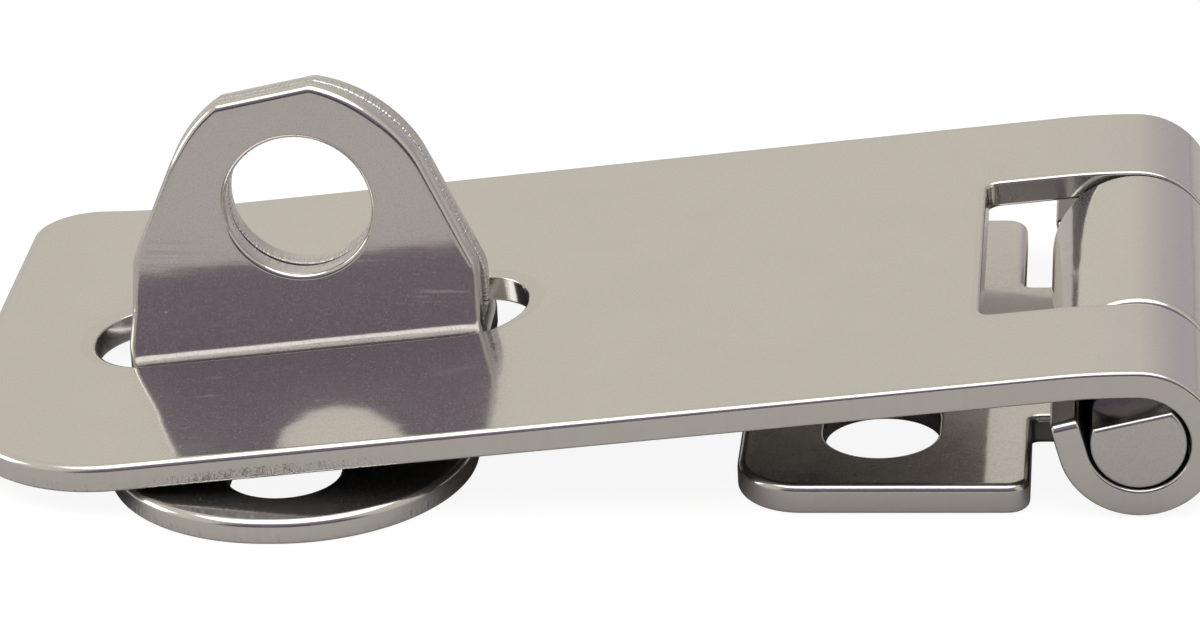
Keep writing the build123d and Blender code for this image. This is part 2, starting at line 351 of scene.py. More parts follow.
def tumbled_steel(name, colour, roughness, stretch, rubs=()):
    """Mirror-bright steel with the barrel's grain, rolling lines, a few scratches and pits.

    It gives the eye a sharp reflection with a slight wobble, sparkle in the dark parts of it, and small
    marks of use. stretch is the texture's scale along X, Y and Z: under 1 draws the lines out that way. Each
    of rubs is the middle and the half size, in mm, of a place where fine lines were rubbed into the face.
    The barrel's grain is drawn coarse enough to show from where the camera stands.
    """
    material, tree = new_material(name)
    place = add(tree, "ShaderNodeTexCoord").outputs["Object"]
    drawn = add(tree, "ShaderNodeMapping", {"Vector": place, "Scale": stretch}).outputs["Vector"]
    noise = {}
    for pattern, (size, detail, is_drawn) in PATTERNS.items():
        node = add(tree, "ShaderNodeTexNoise", {"Vector": drawn if is_drawn else place,
                                                "Scale": 1 / (size * MM), "Detail": detail})
        noise[pattern] = node.outputs["Fac"]
    tone = add(tree, "ShaderNodeMix", {"Factor": noise["clouds"], "A": linear(colour[0]),
                                       "B": linear(colour[1])}, data_type="RGBA")

    # scratches are the highest parts of drawn-out noise, and pits the middles of a few cells
    scratches = add(tree, "ShaderNodeMapRange", {"Value": noise["scratches"],
                                                 "From Min": SCRATCH_FROM_TO[0],
                                                 "From Max": SCRATCH_FROM_TO[1]})
    cells = add(tree, "ShaderNodeTexVoronoi", {"Vector": place, "Scale": 1 / PIT_SPACING})
    pits = add(tree, "ShaderNodeMapRange", {"Value": cells.outputs["Distance"], "From Min": PIT_FADE[0],
                                            "From Max": PIT_FADE[1]})
    marks = [scratches.outputs["Result"], pits.outputs["Result"]]
    for middle, half_size in rubs:
        near = add(tree, "ShaderNodeMapping", {"Vector": place, "Location": tuple(MM * v for v in middle),
                                               "Scale": tuple(MM * v for v in half_size)},
                   vector_type="TEXTURE")
        away = add(tree, "ShaderNodeVectorMath", {0: near.outputs["Vector"]}, operation="LENGTH")
        rub = add(tree, "ShaderNodeMapRange", {"Value": away.outputs["Value"], "From Min": RUB_FADE[0],
                                               "From Max": RUB_FADE[1]})
        rubbed = add(tree, "ShaderNodeMapRange", {"Value": noise["rubbed"], "From Min": RUBBED_FROM_TO[0],
                                                  "From Max": RUBBED_FROM_TO[1],
                                                  "To Max": rub.outputs["Result"]})
        marks.append(rubbed.outputs["Result"])
    mark = marks[0]
    for other in marks[1:]:
        mark = add(tree, "ShaderNodeMath", {0: mark, 1: other}, operation="MAXIMUM").outputs["Value"]

    waves = add(tree, "ShaderNodeBump", {"Height": noise["waves"], "Strength": 1.0,
                                         "Distance": WAVE_DEPTH}).outputs["Normal"]
    lined = add(tree, "ShaderNodeBump", {"Height": noise["lines"], "Strength": 1.0,
                                         "Distance": LINE_DEPTH, "Normal": waves}).outputs["Normal"]
    grained = add(tree, "ShaderNodeBump", {"Height": noise["grain"], "Strength": 1.0,
                                           "Distance": GRAIN_DEPTH, "Normal": waves}).outputs["Normal"]
    dents = add(tree, "ShaderNodeMapRange", {"Value": noise["grain"], "From Min": DENTS_FROM_TO[0],
                                             "From Max": DENTS_FROM_TO[1], "To Min": MATTE_SHARE[0],
                                             "To Max": MATTE_SHARE[1]})
    share = add(tree, "ShaderNodeMath", {0: mark, 1: MARK_SHARE, 2: dents.outputs["Result"]},
                operation="MULTIPLY_ADD", use_clamp=True)
    finish_steel(tree, tone.outputs["Result"], roughness, lined, grained, share.outputs["Value"])
    return material


# %% The sheared edge
STREAK_SCALE, CRUMB_SCALE = (3.0, 0.4, 1.0), (3.5, 0.9, 1.0)     # per mm along, down and across the edge
STREAK_DEPTH, TEAR_DEPTH = 0.004 * MM, 0.22 * MM
TEAR_BEGIN, TEAR_FADE = 1.0, 3.0         # mm to each side of the stretch's start and end
EDGE_MATTE_SHARE = 0.16
NOWHERE = (-9.0, -8.0)   # lengths along an outline start at 0


def sheared_edge(name, colour, roughness, torn=NOWHERE, torn_down=(0.8, 1.1)):
    """The edge as the punch cut it: burnished, and on one stretch torn and crumbly.

    A punch shears the first part of the sheet cleanly and the rest breaks, so the torn part lies towards one
    face. It gives the eye short upright lines of light and dark. The shader reads the mesh's edge_place: mm
    along the outline and mm down from the upper face. torn is the stretch along the outline, and torn_down
    is the depth where the tear fades in.
    """
    material, tree = new_material(name)
    place = add(tree, "ShaderNodeAttribute", attribute_name="edge_place").outputs["Vector"]
    split = add(tree, "ShaderNodeSeparateXYZ", {"Vector": place})
    along, down = split.outputs["X"], split.outputs["Y"]
    noises = []
    for scale in (STREAK_SCALE, CRUMB_SCALE):
        stretched = add(tree, "ShaderNodeMapping", {"Vector": place, "Scale": scale})
        node = add(tree, "ShaderNodeTexNoise", {"Vector": stretched.outputs["Vector"], "Scale": 1.0,
                                                "Detail": 4.0})
        noises.append(node.outputs["Fac"])
    streaks, crumbs = noises
    low = add(tree, "ShaderNodeMapRange", {"Value": down, "From Min": torn_down[0], "From Max": torn_down[1]})
    begun = add(tree, "ShaderNodeMapRange", {"Value": along, "From Min": torn[0] - TEAR_BEGIN,
                                             "From Max": torn[0] + TEAR_BEGIN,
                                             "To Max": low.outputs["Result"]})
    tear = add(tree, "ShaderNodeMapRange", {"Value": along, "From Min": torn[1] + TEAR_FADE,
                                            "From Max": torn[1] - TEAR_FADE,
                                            "To Max": begun.outputs["Result"]})
    tone = add(tree, "ShaderNodeMix", {"Factor": streaks, "A": linear(colour[0]), "B": linear(colour[1])},
               data_type="RGBA")
    soft = add(tree, "ShaderNodeBump", {"Height": streaks, "Strength": 1.0, "Distance": STREAK_DEPTH})
    rough = add(tree, "ShaderNodeBump", {"Height": crumbs, "Strength": tear.outputs["Result"],
                                         "Distance": TEAR_DEPTH, "Normal": soft.outputs["Normal"]})
    normal = rough.outputs["Normal"]
    finish_steel(tree, tone.outputs["Result"], roughness, normal, normal, EDGE_MATTE_SHARE)
    return material


# %% The hasp's finishes
ALONG_X, ALONG_Y = (0.05, 1, 1), (1, 0.05, 1)
SHEET_ROUGHNESS, PIN_ROUGHNESS = 0.1, 0.2
EDGE_COLOUR, EDGE_ROUGHNESS = ("#CAC8C5", "#C2C0BD"), 0.12
STRAP_TORN, ALL_ROUND, UPPER_PART = (12.4, 38.0), (-9.0, 900.0), (0.85, 0.6)
STAPLE_RUBS = [((-62.8, -4.8, 11.0), (3.8, 2, 1.6)),      # left, where the strap's slot scrapes past
               ((-44.6, -4.8, 8.2), (2.6, 2, 0.8))]       # right, lower down
strap_steel = tumbled_steel("tumbled_bright_sheet_steel", ("#CCCAC8", "#C7C5C2"), SHEET_ROUGHNESS, ALONG_X)
staple_steel = tumbled_steel("tumbled_bright_staple_steel", ("#CAC8C7", "#C5C3C1"), SHEET_ROUGHNESS, ALONG_X,
                             STAPLE_RUBS)
pin_steel = tumbled_steel("drawn_pin_steel", ("#C6C4C3", "#BEBCBA"), PIN_ROUGHNESS, ALONG_Y)
edge_steel = sheared_edge("sheared_and_tumbled_edge", EDGE_COLOUR, EDGE_ROUGHNESS)
strap_edge_steel = sheared_edge("torn_strap_edge", EDGE_COLOUR, EDGE_ROUGHNESS, STRAP_TORN)
staple_edge_steel = sheared_edge("torn_staple_edge", EDGE_COLOUR, EDGE_ROUGHNESS, ALL_ROUND, UPPER_PART)
print("finishes:", [material.name for material in (strap_steel, staple_steel, pin_steel, edge_steel,
                                                   strap_edge_steel, staple_edge_steel)])

# %% [markdown]
# ## The strap
# One blank: its free end rises gently as a lip, a long slot drops over the staple, and at the hinge two
# tabs beside a window are curled down and under. Its side view is a chain of arcs and straights along the
# middle of the sheet, leaned about the pin until it rests on the staple's foot.

# %% The strap's side view
PIN_R = 3.0
PLATE_T, STRAP_T, STAPLE_T = 2.0, 1.8, 1.6
PIN_PLAY, CURL_PLAY = 0.02, (0.2, 0.1)   # round the pin: in the plate's knuckle, and in the strap's oval curl
REST_PLAY = 0.1          # between the strap and the staple's foot
AXIS_Z = PIN_R + PIN_PLAY + PLATE_T
STRAP_W, STRAP_LENGTH = 41.4, 76.2
STRAP_RISE = 0.24        # the flat strap stands this far above the curl's crown
CURL_START, CURL_SEAM, CURL_ROLL = 4.5, 45.0, 22.0
TAIL_LENGTH, TAIL_LEAN = 2.5, 9.0
LIP_LENGTH, LIP_RADIUS = 13.2, 95.0
WINDOW_W, WINDOW_DEPTH = 20.9, 9.5
REST_REACH = 65.35       # axis to the far side of the staple's foot, which the strap rests on

# the curl is an oval of four arcs round the pin: two wide ones and two tight ones
oval_a, oval_b = PIN_R + CURL_PLAY[0], PIN_R + CURL_PLAY[1]
slant = tan(radians(CURL_SEAM))
side_off = (oval_a - oval_b) / (1 + slant - sqrt(1 + slant ** 2))
wide_off = side_off * slant
side_r, wide_r = oval_a - side_off, oval_b + wide_off
roll = radians(CURL_ROLL)
wide_centre = (-wide_off * sin(roll), -wide_off * cos(roll))
under_z = wide_centre[1] + wide_r + STRAP_RISE
run = wide_centre[0] + CURL_START
extra = (run ** 2 + STRAP_RISE ** 2) / (2 * STRAP_RISE)
dip_r = wide_r + extra
dip_turn = atan2(run, extra - STRAP_RISE)
lip_r = LIP_RADIUS + STRAP_T
lip_turn = asin(LIP_LENGTH / lip_r)
half = STRAP_T / 2
strap_chain = [
    ((lip_r - half) * lip_turn, lip_r - half),
    (STRAP_LENGTH - LIP_LENGTH - CURL_START, None),
    ((dip_r + half) * dip_turn, -(dip_r + half)),
    ((wide_r + half) * (pi / 2 - dip_turn - radians(CURL_SEAM) + roll), -(wide_r + half)),
    ((side_r + half) * 2 * radians(CURL_SEAM), -(side_r + half)),
    ((wide_r + half) * 2 * radians(90 - CURL_SEAM), -(wide_r + half)),
    ((side_r + half) * (radians(CURL_SEAM - CURL_ROLL) - radians(TAIL_LEAN)), -(side_r + half)),
    (TAIL_LENGTH, None),
]
lip_start = LIP_LENGTH - STRAP_LENGTH
strap_from = (lip_start - (lip_r - half) * sin(lip_turn), under_z + lip_r - (lip_r - half) * cos(lip_turn))
tilt = asin((AXIS_Z - STAPLE_T - REST_PLAY) / hypot(REST_REACH, under_z)) + atan2(under_z, REST_REACH)


def across_y(x, z, h, y):
    """Points and directions of a side view in XZ with headings h, carried across at the given y."""
    zero, one = np.zeros(len(x)), np.ones(len(x))
    return [np.stack([x, y, z], 1), np.stack([np.cos(h), zero, np.sin(h)], 1),
            np.stack([zero, one, zero], 1), np.stack([-np.sin(h), zero, np.cos(h)], 1)]


def strap_bend(blank):
    """The strap's middle surface, turned by the tilt t.

    (x, z) goes to (x cos t - z sin t, x sin t + z cos t).
    """
    lean = np.array([[cos(tilt), 0, -sin(tilt)], [0, 1, 0], [sin(tilt), 0, cos(tilt)]])
    x, z, h = walk(blank[:, 0], strap_from, -lip_turn, strap_chain)
    P, A, B, N = (row @ lean.T for row in across_y(x, z, h, blank[:, 1]))
    return P + (0, 0, AXIS_Z), A, B, N


strap_end = chain_length(strap_chain)
print("strap: blank", round(strap_end, 1), "mm long, tilt", round(tilt / radians(1), 2), "degrees")

# %% The strap's blank
FLAT_STEP, BENT_STEP = 1.6, 0.4          # mm between the points on flat and on bent sheet
FRONT_CORNER, BACK_CORNER, CUT_CORNER, WINDOW_CORNER = 12.0, 4.4, 0.6, 0.8
SLOT_AT, SLOT_Y, SLOT_LENGTH, SLOT_W = 53.9, -0.9, 29.1, 8.6
STRAP_UP, STRAP_LOW = (0.45, 0.26), 0.25  # edge radii: the upper one shrinks from the lip to the hinge
UP_FROM_TO = (25.0, 65.0)
WINDOW_UP = 0.22
SLOT_UP_BACK, SLOT_UP_FRONT, SLOT_LOW = 0.15, 1.0, 0.2
NEAR_WINDOW = (0.5, 0.1)                 # mm round the window that still count as its edge
SLOT_START = 500.0       # the slot's lengths count from here, clear of the outline's torn stretch
flat_from = chain_length(strap_chain[:1]) - lip_start          # blank length at the hinge axis' x
window_s, curl_s = flat_from - WINDOW_DEPTH, flat_from - CURL_START
side, tab = STRAP_W / 2, WINDOW_W / 2
strap_outline = rounded([(0, -side), (strap_end, -side), (strap_end, -tab), (window_s, -tab),
                         (window_s, tab), (strap_end, tab), (strap_end, side), (0, side)],
                        [FRONT_CORNER, CUT_CORNER, CUT_CORNER, WINDOW_CORNER,
                         WINDOW_CORNER, CUT_CORNER, CUT_CORNER, BACK_CORNER])
strap_slot = slot(flat_from - SLOT_AT, SLOT_Y, SLOT_LENGTH, SLOT_W)
in_window = ((strap_outline[:, 0] > window_s - NEAR_WINDOW[0])
             & (np.abs(strap_outline[:, 1]) < tab + NEAR_WINDOW[1]))
outer_up = np.interp(strap_outline[:, 0], UP_FROM_TO, STRAP_UP)
front_side = np.clip(strap_slot[:, 3], 0, 1)
slot_up = SLOT_UP_BACK + (SLOT_UP_FRONT - SLOT_UP_BACK) * front_side
strap_edges = [border(strap_outline, np.where(in_window, WINDOW_UP, outer_up), STRAP_LOW),
               border(strap_slot, slot_up, SLOT_LOW, start=SLOT_START)]
strap_part = sheet_mesh(strap_edges, strap_bend, STRAP_T,
                        [(0, curl_s, -side, side, FLAT_STEP), (curl_s, strap_end, -side, side, BENT_STEP)])
strap_piece = make_piece("strap_sheet", [strap_part], strap_steel, strap_edge_steel)
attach(strap_piece, "strap")
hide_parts("strap")

# %% [markdown]
# ## The hinge plate
# A thicker blank, screwed down through two slots. Its tongue goes under the pin, up and over it, and past
# the top it stands a little off the pin, so the middle knuckle bulges towards the staple.

# %% Hinge plate
PLATE_LEFT, PLATE_RIGHT = 25.1, 6.7      # from the hinge axis to the plate's left end and to its shoulders
PLATE_W, PLATE_Y = 41.3, 0.4
BACK_SHORTER = 0.8       # the back shoulder ends this much earlier
TONGUE_Y, TONGUE_PLAY = -0.2, 0.4
CURL_END, CURL_LOOSE = 203.0, 0.6
SCREW_AT, SCREW_ASIDE, SCREW_SLOT = 16.2, 11.8, (7.3, 9.4)
PLATE_CORNER, SHOULDER_CORNER, ROOT_CORNER, TONGUE_CORNER = 4.2, 1.4, 0.5, 0.7
PLATE_EDGE, SCREW_EDGE = (0.5, 0.4), (0.25, 0.2)         # radii of the upper and lower edge
mid_r = AXIS_Z - PLATE_T / 2
loose_r = mid_r + CURL_LOOSE
plate_chain = [(PLATE_LEFT, None), (pi * mid_r, mid_r), (radians(CURL_END - 90) * loose_r, loose_r)]


def plate_bend(blank):
    """The plate's middle surface: flat to below the pin, half round it, then a wider arc."""
    x, z, h = walk(blank[:, 0], (-PLATE_LEFT, PLATE_T / 2), 0.0, plate_chain)
    return across_y(x, z, h, blank[:, 1])


plate_end = chain_length(plate_chain)
front_y, back_y = PLATE_Y - PLATE_W / 2, PLATE_Y + PLATE_W / 2
tongue_y = [TONGUE_Y - (tab - TONGUE_PLAY), TONGUE_Y + (tab - TONGUE_PLAY)]
front_s, back_s = PLATE_LEFT - PLATE_RIGHT, PLATE_LEFT - PLATE_RIGHT - BACK_SHORTER
plate_outline = rounded([(0, front_y), (front_s, front_y), (front_s, tongue_y[0]), (plate_end, tongue_y[0]),
                         (plate_end, tongue_y[1]), (back_s, tongue_y[1]), (back_s, back_y), (0, back_y)],
                        [PLATE_CORNER, SHOULDER_CORNER, ROOT_CORNER, TONGUE_CORNER,
                         TONGUE_CORNER, ROOT_CORNER, SHOULDER_CORNER, PLATE_CORNER])
screw_slots = [slot(PLATE_LEFT - SCREW_AT, y, *SCREW_SLOT)
               for y in (PLATE_Y - SCREW_ASIDE, PLATE_Y + SCREW_ASIDE)]
plate_edges = [border(plate_outline, *PLATE_EDGE)] + [border(path, *SCREW_EDGE) for path in screw_slots]
plate_part = sheet_mesh(plate_edges, plate_bend, PLATE_T, [(0, PLATE_LEFT, front_y, back_y, FLAT_STEP),
                                                           (PLATE_LEFT, plate_end, *tongue_y, BENT_STEP)])
plate_piece = make_piece("plate_sheet", [plate_part], strap_steel, edge_steel)
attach(plate_piece, "base")
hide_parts("hinge_plate")

# %% [markdown]
# ## The staple
# One strip folded double at the top. Each half is a leg that turns out into a rounded foot. The two layers
# touch at the fold and spring apart a little towards the feet, and the strip swells sideways where it bends.
# The rear foot is a little narrower than the front one. The halves are two closed meshes that meet inside
# the fold, in one piece.

# %% The staple's leg
STAPLE_X, STAPLE_Y = -53.8, -3.2
FOLD_GAP, LEG_SPREAD, LEG_BEND_R = 0.1, 0.6, 1.0
FOOT_REACH, FOOT_HOLE_REACH = 21.15, 12.95
EYE_R, EYE_Z, EYE_FLANK = 9.1, 13.32, 24.0
EYE_HOLE_D, EYE_HOLE_Z = 9.5, 14.42
FOLD_LEAN, FOLD_HALF_ANGLE = 12.0, 20.0
TOP_Z, TOUCH_Z = 24.0, 21.0              # where the blank's lengths start, and where the two layers touch
spread = radians(LEG_SPREAD)
leg_y = FOLD_GAP / 2 + STAPLE_T / 2 - (TOP_Z - TOUCH_Z) * tan(spread)
bend_mid = LEG_BEND_R + STAPLE_T / 2
bend_turn = pi / 2 - spread
straight = (TOP_Z - STAPLE_T / 2 - bend_mid * (1 - sin(spread))) / cos(spread)
foot_from = leg_y + straight * sin(spread) + bend_mid * cos(spread)
leg_chain = [(straight, None), (bend_mid * bend_turn, -bend_mid), (FOOT_REACH - foot_from, None)]


def leg_bend(blank):
    """The front leg's middle surface: down from the eye, round the bend and out along the foot."""
    y, z, h = walk(blank[:, 0], (-leg_y, TOP_Z), -pi / 2 - spread, leg_chain)
    zero, one = np.zeros(len(y)), np.ones(len(y))
    return (np.stack([STAPLE_X - blank[:, 1], STAPLE_Y + y, z], 1), np.stack([zero, np.cos(h), np.sin(h)], 1),
            np.stack([-one, zero, zero], 1), np.stack([zero, -np.sin(h), np.cos(h)], 1))


def foot_s(y):
    """Blank length at the reach y along the foot."""
    return chain_length(leg_chain[:2]) + y - foot_from


# %% The staple's blank, seen from the front
FOOT_Z, RIGHT_WAIST_Z, LEFT_WAIST_Z = 4.6, 6.0, 7.0      # heights where a leg starts and ends its narrowing
LEG_LEFT, LEFT_SLANT, LEFT_LINE_Z = 11.45, 0.1, 7.4      # half width at a height, and its lean inwards
WAIST_R, FLANK_R, FOLD_CORNER, FOOT_FLAT = 2.0, 3.0, 0.95, 0.25
LEG_UP, FOLD_UP, LEG_LOW = 0.22, 0.02, 0.5
EYE_EDGE, FOOT_HOLE_EDGE = (0.15, 0.4), (0.2, 0.25)
CHORD_EASE = 2           # degrees beyond the fold's ends where the round top's tangents are taken
FOLD_BLEND, FOLD_MARGIN = 3.0, 0.03      # mm below the fold: where its slant begins, and what counts as fold
LEG_STEP, LEG_BEND_STEP, GRID_HALF, BEND_LEAD = 1.2, 0.3, 12, 0.5
UPRIGHT = np.array([0.0, 1.0])


def touch_line(angle):
    """Point and direction of the round top's tangent at an angle."""
    a = radians(angle)
    return np.array([EYE_R * cos(a), EYE_Z + EYE_R * sin(a)]), np.array([-sin(a), cos(a)])


def meet(line, other):
    """Where two lines cross, each a point and a direction."""
    (p, u), (q, v) = line, other
    return p + np.linalg.solve(np.array([u, -v]).T, q - p)[0] * u


right_end, left_end = 90 + FOLD_LEAN - FOLD_HALF_ANGLE, 90 + FOLD_LEAN + FOLD_HALF_ANGLE
chord = (touch_line(right_end)[0], touch_line(left_end)[0] - touch_line(right_end)[0])
near_right, near_left = touch_line(right_end - CHORD_EASE), touch_line(left_end + CHORD_EASE)
flank_right, flank_left = touch_line(EYE_FLANK), touch_line(180 - EYE_FLANK)
left_line = (np.array([-LEG_LEFT, LEFT_LINE_Z]), np.array([LEFT_SLANT, 1.0]))
tip = foot_s(FOOT_REACH)
across_fold = np.array([-sin(radians(FOLD_LEAN)), cos(radians(FOLD_LEAN))])
chord_height = EYE_R * cos(radians(FOLD_HALF_ANGLE))


def leg_part(foot_half, leg_right, grow, skew):
    """A leg and its foot, foot_half to each side at the foot and leg_right to the right above it.

    The blank's upper face is the one that touches the other leg. On the fold its edge is square and lifted
    to the middle of the gap. Near the fold the edge is also pushed out by grow and slanted by skew, which
    fade in with the square of the height over FOLD_BLEND mm.
    """
    right_line = (np.array([leg_right, 0.0]), UPRIGHT)
    front = [(foot_half, FOOT_Z), (leg_right, RIGHT_WAIST_Z), meet(right_line, flank_right),
             meet(flank_right, near_right), meet(near_right, chord), meet(near_left, chord),
             meet(flank_left, near_left), meet(left_line, flank_left), (-LEG_LEFT, LEFT_WAIST_Z),
             (-foot_half, FOOT_Z)]
    corners = [(TOP_Z - z, -x) for x, z in front] + [(tip, foot_half), (tip, -foot_half)]
    foot_r = foot_half - FOOT_FLAT
    radii = [WAIST_R, WAIST_R, FLANK_R, EYE_R, FOLD_CORNER, FOLD_CORNER, EYE_R, FLANK_R, WAIST_R, WAIST_R,
             foot_r, foot_r]
    outline = rounded(corners[::-1], radii[::-1])
    fold_height = np.stack([-outline[:, 1], TOP_Z - outline[:, 0] - EYE_Z], 1) @ across_fold
    on_fold = fold_height > chord_height - FOLD_MARGIN
    near_fold = np.clip((fold_height - chord_height + FOLD_BLEND) / FOLD_BLEND, 0, 1) ** 2
    edges = [border(outline, np.where(on_fold, FOLD_UP, LEG_UP), LEG_LOW,
                    np.where(on_fold, FOLD_GAP / 2, 0.0), grow * near_fold, skew * near_fold),
             border(slot(TOP_Z - EYE_HOLE_Z, 0, EYE_HOLE_D, EYE_HOLE_D), *EYE_EDGE),
             border(slot(foot_s(FOOT_HOLE_REACH), 0, *SCREW_SLOT[::-1]), *FOOT_HOLE_EDGE)]
    bend_from, bend_to = straight - BEND_LEAD, foot_s(foot_from)
    return sheet_mesh(edges, leg_bend, STAPLE_T, [(0, bend_from, -GRID_HALF, GRID_HALF, LEG_STEP),
                                                  (bend_from, bend_to, -GRID_HALF, GRID_HALF, LEG_BEND_STEP),
                                                  (bend_to, tip, -GRID_HALF, GRID_HALF, LEG_STEP)])


def mirrored(part, y):
    """The same mesh beyond the plane at y: places and normals turn over, and faces run backwards."""
    flip = np.array([1, -1, 1])
    return {"vertices": part["vertices"] * flip + (0, 2 * y, 0), "normals": part["normals"] * flip,
            "quads": part["quads"][:, ::-1], "triangles": part["triangles"][:, ::-1], "place": part["place"]}


# %% The staple
FRONT_FOOT_HALF, FRONT_LEG_RIGHT, FRONT_GROW = 11.85, 11.45, 0.36
REAR_FOOT_HALF, REAR_LEG_RIGHT, REAR_GROW = 10.8, 11.75, 0.15
FOLD_SLOPE = 0.13        # the fold's top falls by this for each mm towards the back
front_leg = leg_part(FRONT_FOOT_HALF, FRONT_LEG_RIGHT, FRONT_GROW, -FOLD_SLOPE)
rear_leg = mirrored(leg_part(REAR_FOOT_HALF, REAR_LEG_RIGHT, REAR_GROW, FOLD_SLOPE), STAPLE_Y)
staple_piece = make_piece("staple_strip", [front_leg, rear_leg], staple_steel, staple_edge_steel)
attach(staple_piece, "base")
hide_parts("staple")

# %% [markdown]
# ## The pin
# A drawn bar, cropped to length: its ends are lightly rounded, and the cropping tool left a flat on the
# front end. Rings along the bar follow that shape: at each angle the radius is the lesser of the round one
# and the distance to the flat.

# %% Pin
PIN_BREAK = 0.3          # the ends' rounding
PIN_FLAT_DEPTH, PIN_FLAT_LENGTH, PIN_FLAT_LEAN = 1.34, 3.2, 13.5
PIN_STEPS, PIN_SHARP = 128, 30           # points round the bar, and degrees from which an edge is sharp


def pin_rings():
    """Rings of radius min(r, d / cos(a - flat's angle)) along the bar, as rings x angles x 3."""
    break_turn = np.radians(np.linspace(0, 90, 7))
    inward = PIN_BREAK * (1 - np.sin(break_turn))
    start = -side + PIN_BREAK * (1 - np.cos(break_turn))
    step = -side + PIN_FLAT_LENGTH
    ys = np.concatenate([start, [step, step], -start[::-1]])
    radius = PIN_R - np.concatenate([inward, [0, 0], inward[::-1]])
    has_flat = np.arange(len(ys)) <= len(start)
    flat_at = pi / 2 + radians(PIN_FLAT_LEAN)
    flat_ends = flat_at + np.arccos((PIN_R - PIN_FLAT_DEPTH) / PIN_R) * np.array([-1, 1])
    angle = np.sort(np.append(np.linspace(0, 2 * pi, PIN_STEPS, endpoint=False), flat_ends))
    toward = np.maximum(np.cos(angle - flat_at), 1e-3)    # above 0: the far side never meets the flat
    to_flat = (radius - PIN_FLAT_DEPTH)[:, None] / toward[None, :]
    r = np.where(has_flat[:, None], np.minimum(radius[:, None], to_flat), radius[:, None])
    y = np.broadcast_to(ys[:, None], r.shape)
    return np.stack([r * np.cos(angle), y, AXIS_Z + r * np.sin(angle)], -1)


def pin_bar(name, finish):
    """The rings joined up and closed at each end by a point on the axis."""
    points = pin_rings()
    rings, count, _ = points.shape
    middles = np.array([[0, points[0, 0, 1], AXIS_Z], [0, points[-1, 0, 1], AXIS_Z]])
    i = np.arange(count)
    j, last = (i + 1) % count, (rings - 1) * count
    front_cap = np.stack([np.full(count, rings * count), i, j], 1)
    back_cap = np.stack([np.full(count, rings * count + 1), last + j, last + i], 1)
    faces = ring_quads(rings, count).tolist() + front_cap.tolist() + back_cap.tolist()
    mesh = bpy.data.meshes.new(name)
    mesh.from_pydata((np.vstack([points.reshape(-1, 3), middles]) * MM).tolist(), [], faces)
    mesh.polygons.foreach_set("use_smooth", np.ones(len(faces), bool))
    mesh.materials.append(finish)
    mesh.update()
    mesh.set_sharp_from_angle(angle=radians(PIN_SHARP))
    print(name, "has", len(faces), "faces")
    return add_object(name, mesh)


pin_piece = pin_bar("hinge_pin_bar", pin_steel)
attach(pin_piece, "base")
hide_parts("hinge_pin")

# %% [markdown]
# ## Camera
# The place, direction and focal length were worked out from the photograph's straight edges and the pin's
# round end.

# %% Camera
CAMERA_MM = (-0.05, -308.57, 146.31)
CAMERA_ELEVATION, CAMERA_AZIMUTH, CAMERA_ROLL = 24.55, 6.487, -2.943
IMAGE_W, FOCAL_PX, SENSOR_MM = 1200, 5200.33, 36.0
camera_data = bpy.data.cameras.new("camera")
camera_data.sensor_width = SENSOR_MM
camera_data.lens = FOCAL_PX / IMAGE_W * SENSOR_MM
camera_data.clip_start, camera_data.clip_end = 0.01, 10.0
camera = add_object("camera", camera_data)
camera.matrix_world = (Matrix.Translation(Vector(CAMERA_MM) * MM)
                       @ Matrix.Rotation(radians(CAMERA_AZIMUTH), 4, "Z")
                       @ Matrix.Rotation(radians(90 - CAMERA_ELEVATION), 4, "X")
                       @ Matrix.Rotation(radians(CAMERA_ROLL), 4, "Z"))
bpy.context.scene.camera = camera
print("focal length", round(camera_data.lens, 1), "mm")

# %% [markdown]
# ## Floor and light
# The hasp lies on a sheet of pale paper. A hand's width in front of it the floor's colour turns dark: that is
# painted shade, which stands for the shade the figure at the camera casts there, and only the metal sees it.
# The camera sees the floor white with a faint shadow; the metal sees the paper and the painted shade as they
# are lit. Round it is a warm pale room, softly darker at the back right. What the metal mirrors shapes its
# look: the strap mirrors the room's back, upright faces mirror the floor in front with its painted shade,
# and the rounded edges show a thin dark line where they mirror the dark figure at the camera. A broad
# softbox overhead draws the bright line along the upper rims and at the staple's foot, and a window lamp
# stands at the left.

# %% Floor
FLOOR_HALF = 1.5
PAPER_TO_SHADE_FADE = (-0.10, -0.17)              # along Y, from the paper to the painted shade in front
# the second colour is painted shade on the floor in front, where the figure at the camera shades it
PAPER_COLOUR, PAINTED_SHADE_COLOUR = "#B8B5B5", "#524D56"
WHITE = (1, 1, 1, 1)
WHITE_SHARE, WHITE_GLOW = 0.88, 1.035    # how much of what the camera sees is plain white, and how bright
floor_mesh = bpy.data.meshes.new("floor")
floor_mesh.from_pydata([(i * FLOOR_HALF, j * FLOOR_HALF, 0) for i, j in ((-1, -1), (1, -1), (1, 1), (-1, 1))],
                       [], [(0, 1, 2, 3)])
floor = add_object("floor", floor_mesh)
paper, tree = new_material("pale_paper_with_painted_shade")
to_camera = add(tree, "ShaderNodeLightPath").outputs["Is Camera Ray"]
place = add(tree, "ShaderNodeTexCoord").outputs["Object"]
across = add(tree, "ShaderNodeSeparateXYZ", {"Vector": place}).outputs["Y"]
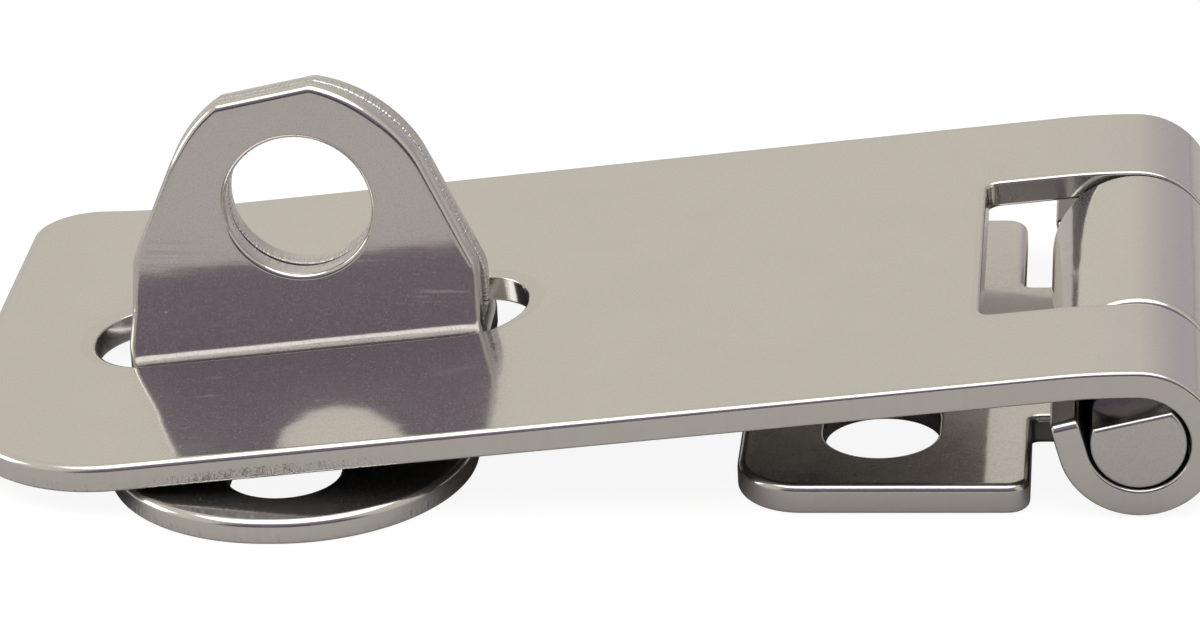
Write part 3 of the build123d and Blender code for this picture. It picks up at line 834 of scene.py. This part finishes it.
# painted shade: past the paper's end the floor's colour darkens; the camera sees white there, the metal
# mirrors the painted shade
beyond = add(tree, "ShaderNodeMapRange", {"Value": across, "From Min": PAPER_TO_SHADE_FADE[0],
                                          "From Max": PAPER_TO_SHADE_FADE[1]}).outputs["Result"]
paper_or_painted_shade = add(tree, "ShaderNodeMix", {"Factor": beyond, "A": linear(PAPER_COLOUR), "B": linear(PAINTED_SHADE_COLOUR)},
             data_type="RGBA").outputs["Result"]
tone = add(tree, "ShaderNodeMix", {"Factor": to_camera, "A": paper_or_painted_shade, "B": WHITE}, data_type="RGBA")
lit = add(tree, "ShaderNodeBsdfDiffuse", {"Color": tone.outputs["Result"]})
glow = add(tree, "ShaderNodeEmission", {"Color": WHITE, "Strength": WHITE_GLOW})
share = add(tree, "ShaderNodeMath", {0: to_camera, 1: WHITE_SHARE}, operation="MULTIPLY")
surface = add(tree, "ShaderNodeMixShader", {0: share.outputs["Value"], 1: lit.outputs["BSDF"],
                                            2: glow.outputs["Emission"]})
add(tree, "ShaderNodeOutputMaterial", {"Surface": surface.outputs["Shader"]})
floor_mesh.materials.append(paper)
print("floor:", 2 * FLOOR_HALF, "m square")

# %% Room
ROOM_COLOUR, DARK_COLOUR, DARK_UP = "#E7E2D6", "#3E3A48", 0.05
PATCHES = [((0.85, 0.7, 0.0), "#C0B9BE", 15, 62),        # the back right
           ((0.05, -1.0, 0.5), "#84778A", 25, 42)]       # the figure at the camera
PATCHES += [((sin(radians(turn)), -cos(radians(turn)), DARK_UP), DARK_COLOUR, 8, 20)
            for turn in (-25, 5, 35)]                    # dark things low in front
world = bpy.data.worlds.new("studio")
bpy.context.scene.world = world
world.use_nodes = True
tree = world.node_tree
tree.nodes.clear()
direction = add(tree, "ShaderNodeTexCoord").outputs["Generated"]


def patch(under, toward, colour, inner, outer):
    """The sky with a soft round patch: the colour within inner degrees of a direction, gone past outer."""
    near = add(tree, "ShaderNodeVectorMath", {0: direction, 1: tuple(Vector(toward).normalized())},
               operation="DOT_PRODUCT")
    share = add(tree, "ShaderNodeMapRange", {"Value": near.outputs["Value"], "From Min": cos(radians(outer)),
                                             "From Max": cos(radians(inner))},
                interpolation_type="SMOOTHSTEP")
    return add(tree, "ShaderNodeMix", {"Factor": share.outputs["Result"], "A": under, "B": linear(colour)},
               data_type="RGBA").outputs["Result"]


sky = linear(ROOM_COLOUR)
for toward, colour, inner, outer in PATCHES:
    sky = patch(sky, toward, colour, inner, outer)
to_camera = add(tree, "ShaderNodeLightPath").outputs["Is Camera Ray"]
shown = add(tree, "ShaderNodeMix", {"Factor": to_camera, "A": sky, "B": WHITE}, data_type="RGBA")
background = add(tree, "ShaderNodeBackground", {"Color": shown.outputs["Result"], "Strength": 1.0})
add(tree, "ShaderNodeOutputWorld", {"Surface": background.outputs["Background"]})
print("room: one pale tone with", len(PATCHES), "soft darker patches")

# %% Lamps
LAMP_AIM = Vector((-0.04, 0, 0))
LAMPS = [("softbox", "DISK", 0.8, 3.0, (-0.05, -0.1, 0.6)),
         ("window", "SQUARE", 0.45, 1.6, (-0.85, 0.0, 0.28))]
for name, shape, size, watts, place in LAMPS:
    lamp_data = bpy.data.lights.new(name, "AREA")
    lamp_data.shape, lamp_data.size, lamp_data.energy = shape, size, watts
    lamp = add_object(name, lamp_data)
    lamp.location = place
    lamp.rotation_euler = (Vector(place) - LAMP_AIM).to_track_quat("Z", "Y").to_euler()
    print(name, size, "m across,", watts, "W")
bpy.context.scene.view_settings.view_transform = "Standard"
